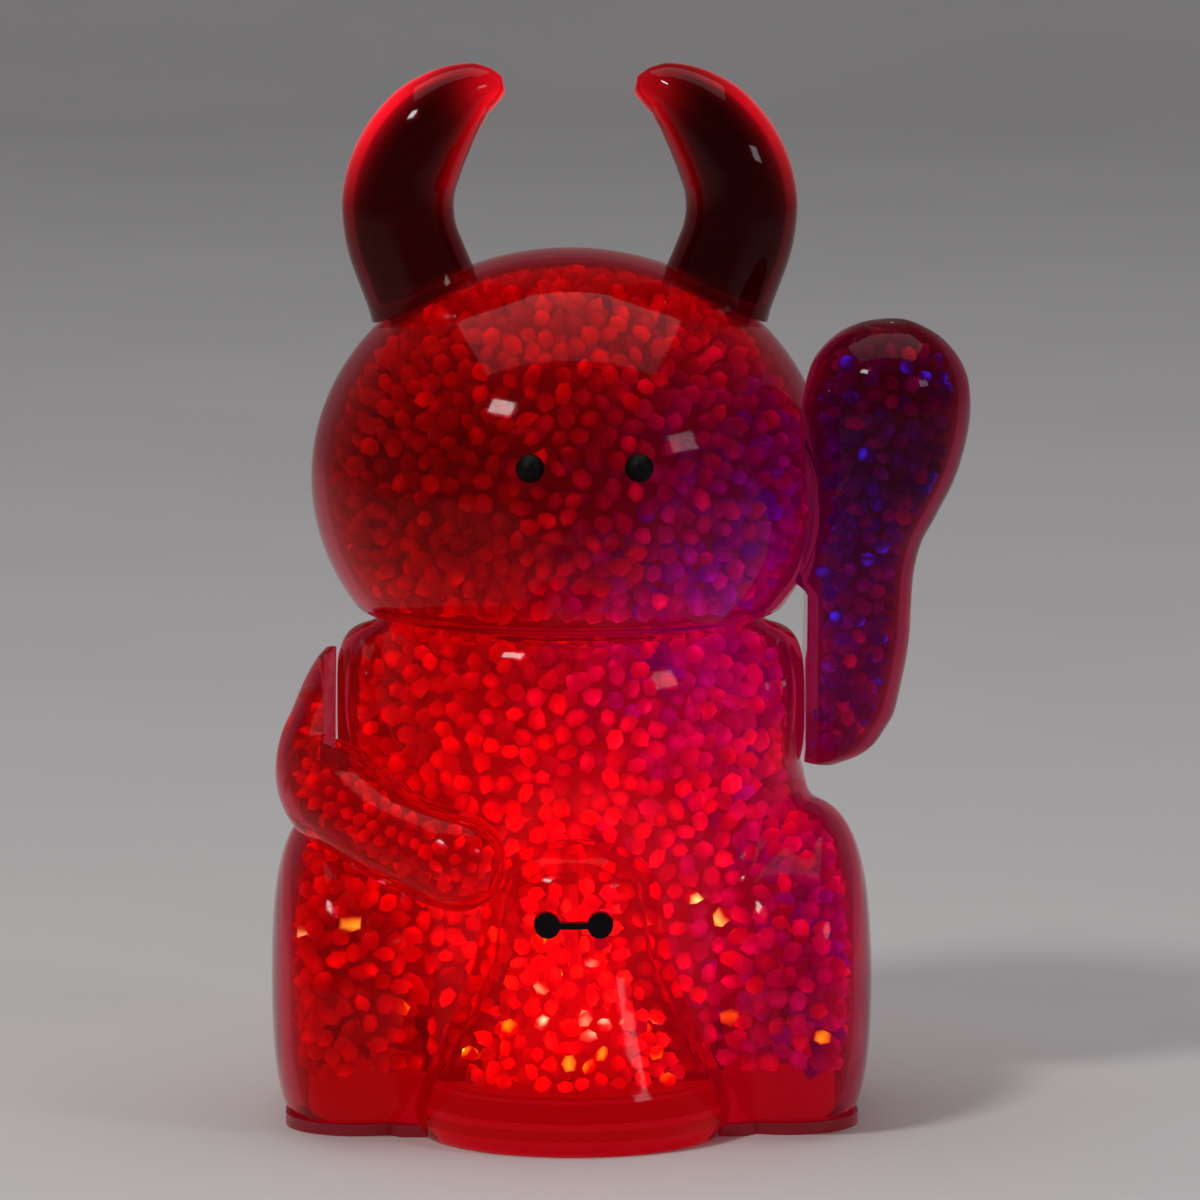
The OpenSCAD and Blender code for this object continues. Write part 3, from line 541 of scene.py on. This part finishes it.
# ---- materials ----
def material(name, colour, rough=0.4, grain=0.0, scale=400.0, glow=None, strength=1.0, clear=0.0, ior=1.45,
             metal=0.0, coat=0.0, specular=0.5):
    """A Principled material. With grain, its colour darkens by up to that share in a fine noise."""
    mat = bpy.data.materials.new(name)
    mat.use_nodes = True
    nt = mat.node_tree
    s = nt.nodes["Principled BSDF"]
    s.inputs["Roughness"].default_value = rough
    s.inputs["Metallic"].default_value = metal
    s.inputs["IOR"].default_value = ior
    s.inputs["Transmission Weight"].default_value = clear
    s.inputs["Specular IOR Level"].default_value = specular
    s.inputs["Coat Weight"].default_value = coat
    s.inputs["Coat Roughness"].default_value = 0.06
    s.inputs["Base Color"].default_value = (*colour, 1)
    if glow:
        s.inputs["Emission Color"].default_value = (*glow, 1)
        s.inputs["Emission Strength"].default_value = strength
    if grain:
        where = nt.nodes.new("ShaderNodeTexCoord")
        noise = nt.nodes.new("ShaderNodeTexNoise")
        noise.inputs["Scale"].default_value = scale
        noise.inputs["Detail"].default_value = 3
        nt.links.new(where.outputs["Object"], noise.inputs["Vector"])
        ramp = nt.nodes.new("ShaderNodeValToRGB")
        low = tuple(c * (1 - grain) for c in colour)
        ramp.color_ramp.elements[0].position, ramp.color_ramp.elements[1].position = 0.35, 0.65
        ramp.color_ramp.elements[0].color = (*low, 1)
        ramp.color_ramp.elements[1].color = (*colour, 1)
        nt.links.new(noise.outputs["Fac"], ramp.inputs["Fac"])
        nt.links.new(ramp.outputs["Color"], s.inputs["Base Color"])
    return mat


def glowing(name, colour, rough, strength=1.0, **more):
    """A material lit from inside by the colours stored on the mesh."""
    mat = material(name, colour, rough, **more)
    nt = mat.node_tree
    s = nt.nodes["Principled BSDF"]
    read = nt.nodes.new("ShaderNodeAttribute")
    read.attribute_name = "glow"
    nt.links.new(read.outputs["Color"], s.inputs["Emission Color"])
    s.inputs["Emission Strength"].default_value = strength
    return mat


def paint_glow(obj, fn):
    """Stores fn(points in mm, normals) on the mesh as its glow colour."""
    n = len(obj.data.vertices)
    co, no = np.zeros(n * 3), np.zeros(n * 3)
    obj.data.vertices.foreach_get("co", co)
    obj.data.vertices.foreach_get("normal", no)
    store_glow(obj.data, fn(co.reshape(-1, 3) / MM, no.reshape(-1, 3)))


SKIN = glowing("clear_skin", (0.62, 0.03, 0.07), 0.04, clear=1.0, ior=1.15)
ARM_SKIN = glowing("clear_arm", (0.40, 0.012, 0.06), 0.04, clear=1.0, ior=1.15)
HORN_SKIN = glowing("clear_horn", (0.15, 0.004, 0.01), 0.03, clear=1.0, ior=1.2)
PEBBLE = glowing("granule", (0.10, 0.004, 0.006), 0.25, strength=1.9, coat=0.05, specular=0.25)


def place(obj, body, slot_name, *nodes):
    """The piece rides its body and stands for its nodes; slot_name is not used."""
    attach(obj, body)
    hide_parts(*nodes)
    return obj


def skin_glow(p, _):
    """The faint light in the skins themselves."""
    g = glow_at(p) * 0.07
    return np.stack([g, g * 0.01, g * 0.02 + blue_at(p) * 0.05], -1)


def horn_glow(p, n):
    """Painted light: a thin bright line along each horn's outer edge and a bright tip, dimmer on the right
    horn.
    """
    x, z = np.abs(p[:, 0]), p[:, 2]
    rise = np.clip((z - 138) / 38, 0, 1)
    # painted rim light, by the surface's normal
    outer = np.clip(np.where(p[:, 0] < 0, -n[:, 0], n[:, 0]) * 0.75 + n[:, 2] * 0.65, 0, 1)
    tip = np.exp(-((x - 12) ** 2 + (z - 174) ** 2) / 30)
    e = 0.008 + 1.5 * outer ** 6 * (0.12 + 0.88 * rise) + 0.4 * tip
    e *= np.where(p[:, 0] < 0, 1.0, 0.55)
    return np.stack([e, e * 0.006, e * 0.02], -1)


# ---- skins ----
FOOT = 2.0
pegs = [peg_rings(1, RAISED_Y), peg_rings(-1, LOWERED_Y)]
outer_body = merged("outer", body_parts(0, FOOT, BODY_TOP) + pegs, 0.9, 10)
inner_body = merged("inner", body_parts(BODY_WALL, FOOT + 0.1, BODY_TOP - 1.0), 1.1, 10)
skin_body = place(two_skins("skin_body", outer_body, inner_body, SKIN), "body", "clear_body", "body_shell")
head_in = head_rings(HEAD_WALL, 70, 128, False)
skin_head = place(shell("skin_head", head_rings(0), head_in, SKIN), "head", "clear_head", "head_shell")
for side, word in ((-1, "left"), (1, "right")):
    horn = shell("skin_horn_" + word, horn_rings(side, 0), horn_rings(side, HORN_WALL, 56, 48), HORN_SKIN)
    place(horn, "head", "clear_horn", "horn_" + word)
    paint_glow(horn, horn_glow)
raised_in = sweep(RAISED, ARM_WALL, 60, 48, (1, 0, 0), clear_raised)
skin_raised = shell("skin_raised_arm", sweep(RAISED, 0, 90, 72, (1, 0, 0), clear_raised), raised_in, ARM_SKIN)
place(skin_raised, "raised_arm", "clear_arm", "raised_arm")
lowered_in = sweep(LOWERED, ARM_WALL, 60, 48, None, clear_lowered)
skin_lowered = shell("skin_lowered_arm", sweep(LOWERED, 0, 90, 72, None, clear_lowered), lowered_in, SKIN)
place(skin_lowered, "lowered_arm", "clear_arm", "lowered_arm")
bell_in = bell_rings(BELL_WALL, 1.6)
skin_bell = place(shell("skin_bell", bell_rings(0, 0.2), bell_in, SKIN), "body", "clear_bell", "lap_bell")
for obj in (skin_body, skin_head, skin_raised, skin_lowered, skin_bell):
    paint_glow(obj, skin_glow)


# ---- the granule fills ----
def in_body(p):
    """Above the tray, and near the top only outside the neck."""
    return (p[:, 2] > 11.2) & ((p[:, 2] < 80) | (np.hypot(p[:, 0], p[:, 1]) > 26))


for word, wanted in (("front", lambda p: p[:, 1] < -2), ("back", lambda p: p[:, 1] >= -2)):
    granules("granules_body_" + word, *inner_body, torso_rings(9.5, 12.5, 74, 24, 48) * [0.98, 0.98, 1],
             "body", "granules_body", "body_beads", spacing=2.95, sparks=0.09, tries=60000,
             keep=lambda p: in_body(p) & wanted(p))
granules("granules_head", *closed_tube(head_in), head_rings(9.5, 20, 48, False), "head", "granules_head",
         "head_beads", spacing=3.0, tries=40000)
granules("granules_raised_arm", *closed_tube(raised_in), sweep(RAISED, 6.6, 24, 20, (1, 0, 0), clear_raised),
         "raised_arm", "granules_raised_arm", "raised_arm_beads", spacing=2.7, size=1.5, tries=12000,
         dim=0.32, blue_glint_share=0.14, vary=0.6)
granules("granules_lowered_arm", *closed_tube(lowered_in), sweep(LOWERED, 4.9, 24, 20, None, clear_lowered),
         "lowered_arm", "granules_lowered_arm", "lowered_arm_beads", spacing=2.5, size=1.25, tries=12000,
         keep=lambda p: (p[:, 2] < 60) | ((p[:, 0] < -ARM_FACE - ARM_WALL - 1) & (p[:, 2] < 71.5)))
granules("granules_bell", *closed_tube(bell_in), bell_rings(6.2, 12, 50, 20, 24, 8), "body", "granules_bell",
         "bell_beads", spacing=2.8, size=1.5, tries=14000, dim=1.7, sparks=0.18, keep=lambda p: p[:, 2] > 11)

# ---- CAD nodes that show as they are, but base_red, frosted and dome_frost glow with painted lamp light ----
LOOKS = {name: material(name, colour, rough, **more) for name, colour, rough, more in (
    ("black_gloss", (0.003, 0.002, 0.002), 0.5, dict(grain=0.3, specular=0.12)),
    # base_red, frosted and dome_frost: their emission is painted light from the lamps inside
    ("base_red", (0.10, 0.005, 0.01), 0.3, dict(grain=0.2, glow=(0.30, 0.0, 0.01), strength=0.3)),
    ("frosted", (0.12, 0.006, 0.01), 0.5, dict(grain=0.15, glow=(0.22, 0.0, 0.006), strength=1.9)),
    ("dome_frost", (0.9, 0.3, 0.25), 0.5, dict(grain=0.1, glow=(1.0, 0.08, 0.03), strength=1.5)),
    ("board_green", (0.02, 0.16, 0.06), 0.4, dict(grain=0.3, scale=900)),
    ("lamp_red", (0.9, 0.04, 0.03), 0.15, dict(grain=0.1, glow=(1.0, 0.03, 0.01), strength=6)),
    ("lamp_green", (0.05, 0.8, 0.1), 0.15, dict(grain=0.1, glow=(0.03, 0.6, 0.08), strength=2)),
    ("lamp_blue", (0.05, 0.1, 0.9), 0.15, dict(grain=0.1, glow=(0.02, 0.06, 1.0), strength=5)),
    ("resistor_tan", (0.5, 0.35, 0.2), 0.5, dict(grain=0.2)),
    ("switch_grey", (0.03, 0.03, 0.035), 0.45, dict(grain=0.3, scale=900)),
    ("knob_white", (0.75, 0.75, 0.72), 0.4, dict(grain=0.08)),
    ("cell_steel", (0.32, 0.33, 0.36), 0.35, dict(grain=0.12, metal=0.6)),
    ("contact_steel", (0.6, 0.6, 0.61), 0.3, dict(grain=0.15, metal=1.0, scale=900)),
    ("screw_steel", (0.5, 0.5, 0.52), 0.32, dict(grain=0.2, metal=1.0, scale=900)),
    ("wire_red", (0.6, 0.02, 0.02), 0.4, dict(grain=0.1)),
    ("wire_black", (0.01, 0.01, 0.01), 0.4, dict(grain=0.1)),
)}
for row in frame["record"]["subparts"]:
    node = frame["nodes"][row["node"]]
    if row["material_slot"] in LOOKS:
        node.data.materials.clear()
        node.data.materials.append(LOOKS[row["material_slot"]])

# ---- stage, light and camera ----
STAGE = material("stage", (0.62, 0.60, 0.60), 0.7, grain=0.04, scale=6)
# A wide round dish: a flat floor that bends up into a wall beyond every camera
reach_out, bend, rise, turns = 2900, 700, 1500, 96
profile = [(1, 0), (600, 0), (1400, 0)] + [(reach_out - bend + bend * math.sin(t), bend - bend * math.cos(t))
                                          for t in np.linspace(0, math.pi / 2, 16)] + [(reach_out, rise)]
around = np.linspace(0, 2 * math.pi, turns, endpoint=False)
sv = [(r * math.cos(q), r * math.sin(q), z) for r, z in profile for q in around]
sf = tube_faces(len(profile), turns, closed=False) + [tuple(range(turns))]
mesh_object("stage", sv, sf, STAGE)

world = bpy.context.scene.world or bpy.data.worlds.new("world")
bpy.context.scene.world = world
world.use_nodes = True
world.node_tree.nodes["Background"].inputs["Color"].default_value = (0.9, 0.93, 1.0, 1)
world.node_tree.nodes["Background"].inputs["Strength"].default_value = 0.09


def lamp(name, place_mm, aim_mm, size, power, colour=(1, 1, 1)):
    data = bpy.data.lights.new(name, "AREA")
    data.shape, data.size, data.size_y = "RECTANGLE", size * MM, size * MM * 0.7
    data.energy, data.color = power, colour
    obj = bpy.data.objects.new(name, data)
    obj.location = Vector(place_mm) * MM
    obj.rotation_euler = (Vector(aim_mm) - Vector(place_mm)).to_track_quat("-Z", "Y").to_euler()
    bpy.context.scene.collection.objects.link(obj)


lamp("key", (-520, -620, 900), (0, 0, 60), 200, 5.0, (1, 0.97, 0.94))
lamp("fill", (760, -560, 520), (0, 0, 80), 220, 1.2, (0.92, 0.95, 1))
lamp("overhead", (0, 300, 2300), (0, 300, 0), 2600, 23.0)

camera = bpy.data.objects.new("camera", bpy.data.cameras.new("camera"))
bpy.context.scene.collection.objects.link(camera)
bpy.context.scene.camera = camera
camera.data.lens, camera.data.sensor_width = 264.7, 36
azimuth, elevation, reach = math.radians(-1.0), math.radians(7.5), 1500
aim = Vector((5.1, 0, 86.2))
back = Vector((math.sin(azimuth) * math.cos(elevation), -math.cos(azimuth) * math.cos(elevation),
               math.sin(elevation)))
camera.location = (aim + back * reach) * MM
camera.rotation_euler = (-back).to_track_quat("-Z", "Y").to_euler()
camera.data.clip_start, camera.data.clip_end = 0.01, 10
bpy.context.scene.view_settings.view_transform = "Standard"
